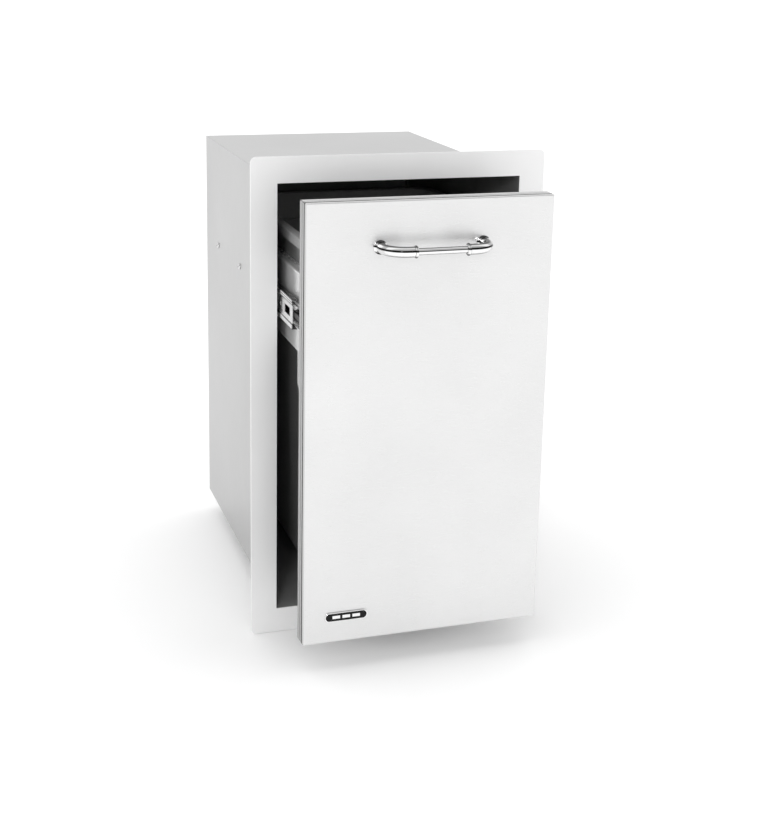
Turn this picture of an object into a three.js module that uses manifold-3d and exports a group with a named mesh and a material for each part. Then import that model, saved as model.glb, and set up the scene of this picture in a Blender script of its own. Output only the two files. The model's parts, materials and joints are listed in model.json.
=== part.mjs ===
// A built-in pull-out waste drawer for an outdoor kitchen: a welded stainless cabinet behind a
// picture-frame flange, an inset double-walled drawer front with a towel-bar handle, and a sheet
// steel carrier on two full-extension ball-bearing slides that holds a lift-out plastic bin.
// Millimetres, +Z up, the front faces -Y. The origin is the middle of the cabinet's underside at
// the flange's back face, the sill corner of the cut-out that the unit drops into.
// The drawer is modelled pulled out by `restOpening`.
import * as THREE from "three";
import { mergeVertices } from "three/addons/utils/BufferGeometryUtils.js";
import Module from "manifold-3d";

const wasm = await Module();
wasm.setup();

// Hairline gap left between pieces that touch, and between a shank and its hole.
const gap = 0.3;

// Cabinet and flange.
const sheet = 1.2;
const cabinetWidth = 337.4;
const cabinetHeight = 592.8;
const cabinetDepth = 462.6;
const flangeBesideCabinet = 34.3;
const flangeAboveCabinet = 33.6;
const flangeCornerRadius = 8;
const hemWidth = 12;
const backLip = 12;

// Drawer front, inset in the flange's opening with an even reveal.
const doorReveal = 4;
const doorSideReveal = 3.9;
const doorThickness = 25.4;
const doorSkinReturn = 12.5;
const restOpening = 123.2;

// Handle on the drawer front.
const handlePitch = 136;
const handleStandoff = 36;
const handleBelowDoorTop = 58;
const handleBend = 26;
const handleTubeRadius = 6.7;
const handleRodRadius = 4.3;
const collarRadius = 8;
const collarWidth = 3.6;
const collarFromMiddle = 34;
const rosetteRadius = 9;
const rosetteThickness = 3;

// Oval badge plate on the drawer front.
const badgeWidth = 58;
const badgeHeight = 13;
const badgeThickness = 1.6;
const badgeFromDoorSide = 58.6;
const badgeAboveDoorBottom = 36.2;

// Ball-bearing slides, one on each side wall.
const slideLength = 400;
const slideHeight = 50;
const slideThickness = 12.7;
const slideBelowCabinetTop = 157.8;
const slideBehindDoor = 2;
const railSheet = 1.5;
const cageSheet = 0.5;
const ballDiameter = 3.2;
const ballPlay = 0.25;
const ballsPerRow = 4;
const ballPitch = 24;
const cageLength = 90;
const bumperLength = 5;
const railWindow = { length: 28, height: 11, fromEnd: 14 };

// The share of the drawer's travel that the middle rails make.
const middleRailShare = 0.75;

// Screws. The cabinet rail has one near its middle and one a pitch to each side.
const screwRadius = 2.5;
const screwHeadRadius = 4.4;
const screwHeadHeight = 2.2;
const cabinetScrewPitch = 152.4;
const cabinetScrewsAheadOfMiddle = 6.4;
const drawerScrewsFromFront = [92, 318];

// Release lever in each drawer rail.
const leverLength = 44;
const leverThickness = 2.6;
const leverHalfHeight = 3.4;
const leverFromRailFront = 1;
const leverPivotRadius = 2;

// Carrier, a ring of folded sheet that the bin hangs in.
const carrierSheet = 1.5;
const carrierHeight = 104;
const carrierLip = 20;
const carrierBottomLip = 4;
const carrierLength = 405.4;

// Corner brackets between the carrier and the drawer front.
const bracketDepth = 47.6;
const bracketWidth = 26;
const bracketDrop = 53;
const bracketBelowCarrierTop = 6;
const bracketChamfer = 10;

// Bin.
const binWall = 2.5;
const binSeatOverlap = 3;
const binPlay = 0.5;
const binRimWidth = 13.2;
const binRimHeight = 13;
const binRimAboveCarrier = 40.4;
const binTaper = 22;
const binFloorClearance = 24;
const binCornerRadius = 26;

// Places worked out from the sizes above.
const middleHeight = cabinetHeight / 2;
const flangeWidth = cabinetWidth + 2 * flangeBesideCabinet;
const flangeHeight = cabinetHeight + 2 * flangeAboveCabinet;
const slideHeightInCabinet = cabinetHeight - slideBelowCabinetTop;
const insideHalfWidth = cabinetWidth / 2 - sheet;
const openingWidth = cabinetWidth - 2 * sheet;
const openingHeight = cabinetHeight - 2 * sheet;
const flangeFront = -2 * sheet;
const doorWidth = openingWidth - 2 * doorSideReveal;
const doorHeight = openingHeight - 2 * doorReveal;
const doorFront = flangeFront - restOpening;
const doorRear = doorFront + doorThickness;
const doorTop = middleHeight + doorHeight / 2;
const doorBottom = middleHeight - doorHeight / 2;
const slideFront = flangeFront + doorThickness + slideBehindDoor;
const raceGap = ballDiameter + 2 * ballPlay;
const drawerRailFront = slideFront - restOpening;
const middleRailFront = slideFront - middleRailShare * restOpening;
const carrierHalfWidth = insideHalfWidth - slideThickness;
const carrierFront = doorRear + railSheet + gap;
const carrierRear = doorRear + gap + carrierLength;
const carrierTop = slideHeightInCabinet + carrierHeight / 2 + 1;
const carrierBottom = carrierTop - carrierHeight;

const polished = new THREE.MeshStandardMaterial({ color: 0xd9dadc, roughness: 0.08, metalness: 1 });
const brushed = new THREE.MeshStandardMaterial({ color: 0xc9cacb, roughness: 0.32, metalness: 1 });
const zinc = new THREE.MeshStandardMaterial({ color: 0xb4b7ba, roughness: 0.3, metalness: 1 });
const blackPlastic = new THREE.MeshStandardMaterial({ color: 0x17181a, roughness: 0.5 });
const greyPlastic = new THREE.MeshStandardMaterial({ color: 0x6d6f71, roughness: 0.6 });

const unit = new THREE.Group();

// A closed geometry as a solid that can be joined and cut.
function solid(geometry) {
  const bare = geometry.clone();
  bare.deleteAttribute("normal");
  bare.deleteAttribute("uv");
  const merged = mergeVertices(bare, 1e-4);
  const mesh = new wasm.Mesh({
    numProp: 3,
    vertProperties: merged.attributes.position.array,
    triVerts: new Uint32Array(merged.index.array),
  });
  return new wasm.Manifold(mesh);
}

// Adds a solid to the unit as a named piece.
function piece(name, shape, material) {
  const { vertProperties, triVerts } = shape.getMesh();
  const geometry = new THREE.BufferGeometry()
    .setAttribute("position", new THREE.BufferAttribute(vertProperties, 3))
    .setIndex(new THREE.BufferAttribute(triVerts, 1));
  geometry.computeVertexNormals();
  const mesh = new THREE.Mesh(geometry, material);
  mesh.name = name;
  unit.add(mesh);
}

// A box between two corners, whose faces lie exactly at the numbers given.
function block(xs, ys, zs) {
  const geometry = new THREE.BoxGeometry(1, 1, 1);
  const position = geometry.attributes.position;
  const [x, y, z] = [xs, ys, zs].map((pair) => [Math.min(...pair), Math.max(...pair)]);
  for (let i = 0; i < position.count; i++) {
    position.setXYZ(
      i,
      x[Number(position.getX(i) > 0)],
      y[Number(position.getY(i) > 0)],
      z[Number(position.getZ(i) > 0)],
    );
  }
  return solid(geometry);
}

function join(...shapes) {
  return shapes.reduce((all, next) => all.add(next));
}

// Turns a shape drawn in its own plane so that it extrudes along an axis of the unit.
const alongX = new THREE.Matrix4().makeBasis(
  new THREE.Vector3(0, 1, 0),
  new THREE.Vector3(0, 0, 1),
  new THREE.Vector3(1, 0, 0),
);
const alongMinusY = new THREE.Matrix4().makeBasis(
  new THREE.Vector3(1, 0, 0),
  new THREE.Vector3(0, 0, 1),
  new THREE.Vector3(0, -1, 0),
);

function extrude(shape, depth, turn, place, curveSegments = 4) {
  const geometry = new THREE.ExtrudeGeometry(shape, { depth, bevelEnabled: false, curveSegments });
  return solid(geometry.applyMatrix4(turn).translate(...place));
}

// A cylinder along X or Y that starts at a point and runs the given way.
function rod(radius, start, way, length, sides = 16) {
  const geometry = new THREE.CylinderGeometry(radius, radius, length, sides);
  geometry.translate(0, length / 2, 0);
  const turn = new THREE.Quaternion().setFromUnitVectors(new THREE.Vector3(0, 1, 0), way);
  return solid(geometry.applyQuaternion(turn).translate(...start));
}

// A screw whose head seats at a point; way runs from the head's top to the tip.
function screw(seat, way, shankLength) {
  const profile = [
    [0, shankLength],
    [screwRadius, shankLength],
    [screwRadius, 0],
    [screwHeadRadius, 0],
    [screwHeadRadius, -0.5 * screwHeadHeight],
    [0.7 * screwHeadRadius, -screwHeadHeight],
    [0, -screwHeadHeight],
  ];
  const points = profile.map(([r, y]) => new THREE.Vector2(r, y)).reverse();
  const geometry = new THREE.LatheGeometry(points, 14);
  const turn = new THREE.Quaternion().setFromUnitVectors(new THREE.Vector3(0, 1, 0), way);
  return solid(geometry.applyQuaternion(turn).translate(...seat));
}

// Joins rings of equal count into a closed body, capped at its first and last ring.
function loft(rings) {
  const count = rings[0].length;
  const ringMiddle = (ring) => ring.reduce((sum, p) => sum.clone().add(p)).divideScalar(count);
  const points = [...rings.flat(), ringMiddle(rings[0]), ringMiddle(rings.at(-1))];
  const index = [];
  const lastRing = (rings.length - 1) * count;
  for (let i = 0; i < count; i++) {
    const next = (i + 1) % count;
    for (let start = 0; start < lastRing; start += count) {
      index.push(start + i, start + next, start + count + next);
      index.push(start + i, start + count + next, start + count + i);
    }
    index.push(next, i, points.length - 2);
    index.push(lastRing + i, lastRing + next, points.length - 1);
  }
  const geometry = new THREE.BufferGeometry().setFromPoints(points).setIndex(index);
  return solid(geometry);
}

function roundedRectangle(width, height, radius, Kind = THREE.Shape) {
  const [x, y] = [width / 2, height / 2];
  const shape = new Kind();
  shape.absarc(x - radius, y - radius, radius, 0, Math.PI / 2);
  shape.absarc(-x + radius, y - radius, radius, Math.PI / 2, Math.PI);
  shape.absarc(-x + radius, -y + radius, radius, Math.PI, 1.5 * Math.PI);
  shape.absarc(x - radius, -y + radius, radius, 1.5 * Math.PI, 2 * Math.PI);
  shape.closePath();
  return shape;
}

// Front flange: one sheet with a hem folded behind its outer edge.
{
  const face = extrude(
    roundedRectangle(flangeWidth, flangeHeight, flangeCornerRadius),
    2 * sheet,
    alongMinusY,
    [0, 0, middleHeight],
    6,
  );
  const halfInsideHem = [flangeWidth / 2 - hemWidth, flangeHeight / 2 - hemWidth];
  const hemHollow = block(
    [-halfInsideHem[0], halfInsideHem[0]],
    [-sheet, 1],
    [middleHeight - halfInsideHem[1], middleHeight + halfInsideHem[1]],
  );
  const opening = block(
    [-insideHalfWidth, insideHalfWidth],
    [flangeFront - 1, 1],
    [middleHeight - openingHeight / 2, middleHeight + openingHeight / 2],
  );
  piece("front_flange", face.subtract(hemHollow).subtract(opening), brushed);
}

// Cabinet: two sides, top, floor and a back with lips, welded into a box behind the flange.
const cabinetFront = -sheet;
const backInside = cabinetDepth - sheet;
const slideMiddle = slideFront + slideLength / 2;
const cabinetScrewPlaces = [-1, 0, 1].map(
  (n) => slideMiddle - cabinetScrewsAheadOfMiddle + n * cabinetScrewPitch,
);
const sideNames = { left: -1, right: 1 };

piece(
  "cabinet_top",
  block(
    [-insideHalfWidth, insideHalfWidth],
    [cabinetFront, backInside],
    [cabinetHeight - sheet, cabinetHeight],
  ),
  brushed,
);
piece(
  "cabinet_floor",
  block([-insideHalfWidth, insideHalfWidth], [cabinetFront, backInside], [0, sheet]),
  brushed,
);
{
  const lipOutside = [insideHalfWidth - gap, cabinetHeight - sheet - gap];
  const lipRing = block(
    [-lipOutside[0], lipOutside[0]],
    [backInside - backLip, backInside],
    [sheet + gap, lipOutside[1]],
  ).subtract(
    block(
      [-lipOutside[0] + sheet, lipOutside[0] - sheet],
      [backInside - backLip - 1, backInside],
      [2 * sheet + gap, lipOutside[1] - sheet],
    ),
  );
  const panel = block(
    [-cabinetWidth / 2, cabinetWidth / 2],
    [backInside, cabinetDepth],
    [0, cabinetHeight],
  );
  piece("cabinet_back", panel.add(lipRing), brushed);
}

// The distance from a side wall's inner face to a plane inside the slide becomes an x.
const fromWall = (side, distance) => side * (insideHalfWidth - distance);

// A rail: a web and two lips, with the web at one end of its depth.
function rail(side, web, lipEnd, halfHeight, front, length) {
  const ys = [front, front + length];
  const z = slideHeightInCabinet;
  const lipXs = [fromWall(side, Math.min(...web, lipEnd)), fromWall(side, Math.max(...web, lipEnd))];
  const shapes = [
    block([fromWall(side, web[0]), fromWall(side, web[1])], ys, [z - halfHeight, z + halfHeight]),
    block(lipXs, ys, [z + halfHeight - railSheet, z + halfHeight]),
    block(lipXs, ys, [z - halfHeight, z - halfHeight + railSheet]),
  ];
  return join(...shapes);
}

// A ball cage: a thin channel whose two legs each carry a row of balls.
function ballCage(side, webStart, legEnd, ballsAt, rowHeight, front) {
  const ys = [front, front + cageLength];
  const z = slideHeightInCabinet;
  const outer = rowHeight + cageSheet / 2;
  const web = [fromWall(side, webStart), fromWall(side, webStart + cageSheet)];
  const legs = [fromWall(side, webStart), fromWall(side, legEnd)];
  const firstBall = front + (cageLength - (ballsPerRow - 1) * ballPitch) / 2;
  const shapes = [block(web, ys, [z - outer, z + outer])];
  for (const way of [-1, 1]) {
    shapes.push(block(legs, ys, [z + way * outer, z + way * (outer - cageSheet)]));
    for (let n = 0; n < ballsPerRow; n++) {
      const ball = new THREE.SphereGeometry(ballDiameter / 2, 8, 6);
      const place = [fromWall(side, ballsAt), firstBall + n * ballPitch, z + way * rowHeight];
      shapes.push(solid(ball.translate(...place)));
    }
  }
  return join(...shapes);
}

// Depths inside the slide, counted from the side wall.
const outerCageWeb = railSheet + gap;
const middleWeb = outerCageWeb + cageSheet + gap;
const innerCageWeb = middleWeb + railSheet + gap;
const drawerLipEnd = innerCageWeb + cageSheet + gap;
const drawerWeb = slideThickness - railSheet;
const middleLipEnd = slideThickness - railSheet - gap;
const cabinetLipEnd = middleLipEnd - railSheet;
const cabinetHalf = slideHeight / 2;
const middleHalf = cabinetHalf - railSheet - raceGap;
const drawerHalf = middleHalf - railSheet - raceGap;
const outerRow = cabinetHalf - railSheet - raceGap / 2;
const innerRow = middleHalf - railSheet - raceGap / 2;
const outerBallsAt = (middleWeb + cabinetLipEnd) / 2;
const innerBallsAt = (drawerLipEnd + middleLipEnd) / 2;
const cageLegBeyondBall = 2;

// Each cage is centred where its two rails overlap, whatever the drawer's position.
const outerCageFront = slideMiddle - cageLength / 2 - (middleRailShare / 2) * restOpening;
const innerCageFront = slideMiddle - cageLength / 2 - ((1 + middleRailShare) / 2) * restOpening;

for (const [name, side] of Object.entries(sideNames)) {
  const inwards = new THREE.Vector3(-side, 0, 0);
  const outwards = new THREE.Vector3(side, 0, 0);
  const z = slideHeightInCabinet;

  // Side wall, with holes for the slide's screws.
  const wallOutside = side * (insideHalfWidth + sheet);
  let wall = block(
    [side * insideHalfWidth, wallOutside],
    [cabinetFront, backInside],
    [0, cabinetHeight],
  );
  let cabinetRail = rail(
    side,
    [0, railSheet],
    cabinetLipEnd,
    cabinetHalf,
    slideFront,
    slideLength + bumperLength + gap,
  );
  cabinetScrewPlaces.forEach((y, n) => {
    const hole = rod(screwRadius + gap, [wallOutside + side, y, z], inwards, 2 * slideThickness / 3);
    wall = wall.subtract(hole);
    cabinetRail = cabinetRail.subtract(hole);
    const seat = [wallOutside + side * gap, y, z];
    piece(`cabinet_screw_${name}_${n + 1}`, screw(seat, inwards, sheet + railSheet + gap), zinc);
  });
  piece(`cabinet_side_${name}`, wall, brushed);
  piece(`cabinet_rail_${name}`, cabinetRail, zinc);

  // Bumper at the cabinet rail's closed end, which the middle rail stops against.
  const bumper = block(
    [fromWall(side, railSheet), fromWall(side, cabinetLipEnd)],
    [slideFront + slideLength + gap, slideFront + slideLength + gap + bumperLength],
    [z - middleHalf, z + middleHalf],
  );
  piece(`rail_bumper_${name}`, bumper, blackPlastic);

  // Middle rail, with access windows in its web.
  let middleRail = rail(
    side,
    [middleWeb, middleWeb + railSheet],
    middleLipEnd,
    middleHalf,
    middleRailFront,
    slideLength,
  );
  for (const start of [
    middleRailFront + railWindow.fromEnd,
    middleRailFront + (slideLength - railWindow.length) / 2,
    middleRailFront + slideLength - railWindow.fromEnd - railWindow.length,
  ]) {
    const window = block(
      [fromWall(side, middleWeb - gap), fromWall(side, middleWeb + railSheet + gap)],
      [start, start + railWindow.length],
      [z - railWindow.height / 2, z + railWindow.height / 2],
    );
    middleRail = middleRail.subtract(window);
  }
  piece(`middle_rail_${name}`, middleRail, zinc);

  piece(
    `outer_ball_cage_${name}`,
    ballCage(
      side,
      outerCageWeb,
      outerBallsAt + cageLegBeyondBall,
      outerBallsAt,
      outerRow,
      outerCageFront,
    ),
    zinc,
  );
  piece(
    `inner_ball_cage_${name}`,
    ballCage(
      side,
      innerCageWeb,
      innerBallsAt + cageLegBeyondBall,
      innerBallsAt,
      innerRow,
      innerCageFront,
    ),
    zinc,
  );

  // Drawer rail, screwed to the carrier's side.
  let drawerRail = rail(
    side,
    [drawerWeb, slideThickness],
    drawerLipEnd,
    drawerHalf,
    drawerRailFront,
    slideLength,
  );

  // Carrier side: a web with a wide lip folded in at the top and a narrow one at the bottom.
  const webXs = [side * carrierHalfWidth, side * (carrierHalfWidth - carrierSheet)];
  const lipX = side * (carrierHalfWidth - carrierLip);
  const carrierStart = doorRear + gap;
  let carrierSide = join(
    block(webXs, [carrierStart, carrierRear], [carrierBottom, carrierTop]),
    block([webXs[0], lipX], [carrierStart, carrierRear], [carrierTop - carrierSheet, carrierTop]),
    block(
      [webXs[0], side * (carrierHalfWidth - carrierBottomLip)],
      [doorRear + bracketDepth + gap, carrierRear],
      [carrierBottom, carrierBottom + carrierSheet],
    ),
  );
  drawerScrewsFromFront.forEach((fromFront, n) => {
    const y = drawerRailFront + fromFront;
    const start = [fromWall(side, drawerLipEnd), y, z];
    const hole = rod(screwRadius + gap, start, inwards, slideThickness);
    drawerRail = drawerRail.subtract(hole);
    carrierSide = carrierSide.subtract(hole);
    const seat = [fromWall(side, drawerWeb - gap), y, z];
    const shank = gap + railSheet + carrierSheet + gap;
    piece(`rail_screw_${name}_${n + 1}`, screw(seat, inwards, shank), zinc);
  });
  // Release lever, pivoted on a rivet through the drawer rail's web.
  const pivotY = drawerRailFront + leverFromRailFront + leverLength;
  const leverStart = drawerWeb - gap - screwHeadHeight - leverThickness;
  const pivotHole = rod(
    leverPivotRadius + gap,
    [fromWall(side, drawerLipEnd), pivotY, z],
    inwards,
    slideThickness,
  );
  const arm = new THREE.Shape();
  arm.moveTo(-leverLength, -0.6 * leverHalfHeight);
  arm.lineTo(-leverLength + 12, -leverHalfHeight);
  arm.absarc(0, 0, leverHalfHeight, -Math.PI / 2, Math.PI / 2);
  arm.lineTo(-leverLength + 12, leverHalfHeight);
  arm.lineTo(-leverLength, 0.6 * leverHalfHeight);
  arm.closePath();
  const leverX = fromWall(side, leverStart + (side > 0 ? leverThickness : 0));
  const lever = extrude(arm, leverThickness, alongX, [leverX, pivotY, z], 8);
  piece(`release_lever_${name}`, lever.subtract(pivotHole), blackPlastic);
  const rivetHead = rod(
    leverPivotRadius + 0.9,
    [fromWall(side, leverStart - gap), pivotY, z],
    outwards,
    0.7,
    12,
  );
  const rivetShank = rod(
    leverPivotRadius,
    [fromWall(side, slideThickness), pivotY, z],
    outwards,
    slideThickness - leverStart + 2 * gap,
    12,
  );
  piece(`lever_rivet_${name}`, rivetHead.add(rivetShank), zinc);
  piece(`drawer_rail_${name}`, drawerRail.subtract(pivotHole), zinc);
  piece(`carrier_side_${name}`, carrierSide, brushed);

  // Bracket welded inside the carrier side and bolted to the drawer front.
  const bracketOutside = carrierHalfWidth - carrierSheet - gap;
  const bracketTop = carrierTop - bracketBelowCarrierTop;
  const bracketBottom = carrierBottom - bracketDrop;
  const outline = new THREE.Shape([
    new THREE.Vector2(doorRear, bracketBottom),
    new THREE.Vector2(doorRear + bracketDepth - bracketChamfer, bracketBottom),
    new THREE.Vector2(doorRear + bracketDepth, bracketBottom + bracketChamfer),
    new THREE.Vector2(doorRear + bracketDepth, bracketTop),
    new THREE.Vector2(doorRear, bracketTop),
  ]);
  const legX = side > 0 ? bracketOutside - railSheet : -bracketOutside;
  const sideLeg = extrude(outline, railSheet, alongX, [legX, 0, 0]);
  const doorLeg = block(
    [side * bracketOutside, side * (bracketOutside - bracketWidth)],
    [doorRear, doorRear + railSheet],
    [bracketBottom, bracketTop],
  );
  let bracket = sideLeg.add(doorLeg);
  for (const [fromDoor, above] of [
    [34.6, 10],
    [27.6, 17],
  ]) {
    const start = [side * (bracketOutside + 1), doorRear + fromDoor, bracketBottom + above];
    bracket = bracket.subtract(rod(1.8, start, inwards, 2 * railSheet + 1, 10));
  }
  // Bolts through the bracket into the drawer front's back pan.
  const boltX = side * (bracketOutside - bracketWidth / 2 - 1);
  [bracketBottom + 16, slideHeightInCabinet].forEach((boltZ, n) => {
    const throughCarrier = n === 1;
    const seatY = throughCarrier ? carrierFront + carrierSheet + gap : doorRear + railSheet + gap;
    const seat = [boltX, seatY, boltZ];
    const shank = seatY - doorRear + sheet + gap;
    const forwards = new THREE.Vector3(0, -1, 0);
    piece(`bracket_bolt_${name}_${n + 1}`, screw(seat, forwards, shank), zinc);
    bracket = bracket.subtract(
      rod(screwRadius + gap, [boltX, doorRear + railSheet + 1, boltZ], forwards, railSheet + 2),
    );
  });
  piece(`door_bracket_${name}`, bracket, brushed);
}

// Carrier's front and rear walls, each with a lip that meets the side lips.
const bracketInside = carrierHalfWidth - 2 * carrierSheet - 2 * gap;
const lipHalfWidth = carrierHalfWidth - carrierLip - gap;
for (const [name, outside, inwards, halfWidth] of [
  ["front", carrierFront, 1, bracketInside],
  ["rear", carrierRear, -1, carrierHalfWidth - carrierSheet - gap],
]) {
  const webYs = [outside, outside + inwards * carrierSheet];
  let wall = join(
    block(
      [-halfWidth, halfWidth],
      webYs,
      [carrierBottom + carrierSheet + gap, carrierTop - carrierSheet - gap],
    ),
    block([-lipHalfWidth, lipHalfWidth], webYs, [carrierBottom + carrierSheet + gap, carrierTop]),
    block(
      [-lipHalfWidth, lipHalfWidth],
      [outside, outside + inwards * carrierLip],
      [carrierTop - carrierSheet, carrierTop],
    ),
  );
  if (name === "front") {
    for (const side of [-1, 1]) {
      const boltX = side * (carrierHalfWidth - carrierSheet - gap - bracketWidth / 2 - 1);
      const start = [boltX, outside - 1, slideHeightInCabinet];
      const backwards = new THREE.Vector3(0, 1, 0);
      wall = wall.subtract(rod(screwRadius + gap, start, backwards, carrierSheet + 2));
    }
  }
  piece(`carrier_${name}`, wall, brushed);
}

// Drawer front: a skin pan in front, and a back pan that slips into it and then steps out flush.
const handleHeight = doorTop - handleBelowDoorTop;

// A slab with the drawer front's outline, smaller all round by an inset.
function doorSlab(inset, ys) {
  const halfWidth = doorWidth / 2 - inset;
  return block([-halfWidth, halfWidth], ys, [doorBottom + inset, doorTop - inset]);
}

{
  const seam = doorFront + doorSkinReturn + gap;
  const panInset = sheet + gap;
  let skin = doorSlab(0, [doorFront, doorFront + doorSkinReturn]).subtract(
    doorSlab(sheet, [doorFront + sheet, seam]),
  );
  let pan = join(
    doorSlab(panInset, [doorFront + panInset, seam + sheet]),
    doorSlab(0, [seam, doorRear]),
  );
  pan = pan.subtract(doorSlab(panInset + sheet, [doorFront, seam + 2 * sheet]));
  pan = pan.subtract(doorSlab(sheet, [seam + sheet, doorRear - sheet]));
  const backwards = new THREE.Vector3(0, 1, 0);
  const forwards = new THREE.Vector3(0, -1, 0);
  for (const [name, side] of Object.entries(sideNames)) {
    const x = (side * handlePitch) / 2;
    const hole = rod(
      screwRadius + gap,
      [x, doorFront - 1, handleHeight],
      backwards,
      doorThickness + 2,
    );
    skin = skin.subtract(hole);
    pan = pan.subtract(hole);
    const seat = [x, doorRear + gap, handleHeight];
    const shank = doorThickness + gap + rosetteThickness;
    piece(`handle_screw_${name}`, screw(seat, forwards, shank), zinc);
    const boltX = side * (carrierHalfWidth - carrierSheet - gap - bracketWidth / 2 - 1);
    for (const boltZ of [carrierBottom - bracketDrop + 16, slideHeightInCabinet]) {
      const start = [boltX, doorRear - 2 * sheet, boltZ];
      pan = pan.subtract(rod(screwRadius + gap, start, backwards, 4 * sheet));
    }
  }
  piece("door_skin", skin, brushed);
  piece("door_back_pan", pan, brushed);
}

// A round bar through stations in a level plane, each with its centre and its heading.
function levelBar(stations, radius, sides) {
  const up = new THREE.Vector3(0, 0, 1);
  const rings = stations.map(({ centre, heading }) => {
    const across = heading.clone().cross(up);
    return Array.from({ length: sides }, (_, n) => {
      const angle = (n / sides) * 2 * Math.PI;
      return centre
        .clone()
        .addScaledVector(up, radius * Math.cos(angle))
        .addScaledVector(across, radius * Math.sin(angle));
    });
  });
  return loft(rings);
}

// Handle: two bent ends with a thinner rod between them, standing on two rosettes.
const bendSteps = 8;
const barY = doorFront - handleStandoff;
const rodEnd = collarFromMiddle + collarWidth / 2;
for (const [name, side] of Object.entries(sideNames)) {
  const x = (side * handlePitch) / 2;
  const z = handleHeight;
  const bendEnd = x - side * handleBend;
  const outwards = new THREE.Vector3(side, 0, 0);
  const forwards = new THREE.Vector3(0, -1, 0);
  const inwards = outwards.clone().negate();
  const base = doorFront - rosetteThickness - 2 * gap;
  const stations = [{ centre: new THREE.Vector3(x, base, z), heading: forwards }];
  for (let n = 0; n <= bendSteps; n++) {
    const turned = (n / bendSteps) * (Math.PI / 2);
    const across = bendEnd + side * handleBend * Math.cos(turned);
    const centre = new THREE.Vector3(across, barY + handleBend * (1 - Math.sin(turned)), z);
    const heading = new THREE.Vector3(-side * Math.sin(turned), -Math.cos(turned), 0);
    stations.push({ centre, heading });
  }
  stations.push({
    centre: new THREE.Vector3(side * (rodEnd + gap), barY, z),
    heading: inwards,
  });
  const screwHole = rod(
    screwRadius + gap,
    [x, doorFront, z],
    forwards,
    rosetteThickness + 4 * gap,
  );
  piece(
    `handle_end_${name}`,
    levelBar(stations, handleTubeRadius, 16).subtract(screwHole),
    polished,
  );
  const rosette = rod(rosetteRadius, [x, doorFront - gap, z], forwards, rosetteThickness, 24);
  piece(`handle_rosette_${name}`, rosette.subtract(screwHole), polished);
  const collarStart = [side * (collarFromMiddle - collarWidth / 2), barY, z];
  const collar = rod(collarRadius, collarStart, outwards, collarWidth, 24);
  const rodPassage = rod(
    handleRodRadius + gap,
    [collarStart[0] - side, barY, z],
    outwards,
    collarWidth + 2,
  );
  piece(`handle_collar_${name}`, collar.subtract(rodPassage), polished);
}
piece(
  "handle_rod",
  rod(handleRodRadius, [-rodEnd, barY, handleHeight], new THREE.Vector3(1, 0, 0), 2 * rodEnd),
  polished,
);

// Badge plate, a plain oval.
piece(
  "badge_plate",
  extrude(
    roundedRectangle(badgeWidth, badgeHeight, badgeHeight / 2 - 0.01),
    badgeThickness,
    alongMinusY,
    [
      -doorWidth / 2 + badgeFromDoorSide,
      doorFront - gap,
      doorBottom + badgeAboveDoorBottom,
    ],
    6,
  ),
  blackPlastic,
);

// Bin: a tapered tub whose shoulder sits on the carrier's lips, under a folded rim.
const binMiddleY = (carrierFront + carrierRear) / 2;
const seatHalfWidth = carrierHalfWidth - carrierLip - binPlay;
const seatHalfDepth = (carrierRear - carrierFront) / 2 - carrierLip - binPlay;
const binCornerSegments = 5;

// One level of the bin: a rounded rectangle grown or shrunk from the seat's outline.
function binRing(growth, z) {
  const radius = Math.max(binCornerRadius + growth, 4);
  const shape = roundedRectangle(
    2 * (seatHalfWidth + growth),
    2 * (seatHalfDepth + growth),
    radius,
  );
  return shape
    .extractPoints(binCornerSegments)
    .shape.map((p) => new THREE.Vector3(p.x, binMiddleY + p.y, z));
}

{
  const bottom = sheet + binFloorClearance;
  const seat = carrierTop + gap;
  const top = carrierTop + binRimAboveCarrier;
  const neck = binPlay + binSeatOverlap;
  const rim = neck + binRimWidth;
  piece(
    "bin",
    loft([
      binRing(-binTaper - 5, bottom),
      binRing(-binTaper, bottom + 6),
      binRing(0, seat),
      binRing(neck, seat),
      binRing(neck, top - binWall),
      binRing(rim - binWall, top - binWall),
      binRing(rim - binWall, top - binRimHeight),
      binRing(rim, top - binRimHeight),
      binRing(rim, top - 2),
      binRing(rim - 2, top),
      binRing(neck - binWall, top),
      binRing(neck - binWall, seat + binWall),
      binRing(-binWall, seat + binWall),
      binRing(-binTaper - binWall, bottom + 6 + binWall),
      binRing(-binTaper - 5 - binWall, bottom + binWall),
    ]),
    greyPlastic,
  );
}

export default unit;
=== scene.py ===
import json
import math

import bpy
from mathutils import Matrix, Vector

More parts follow.
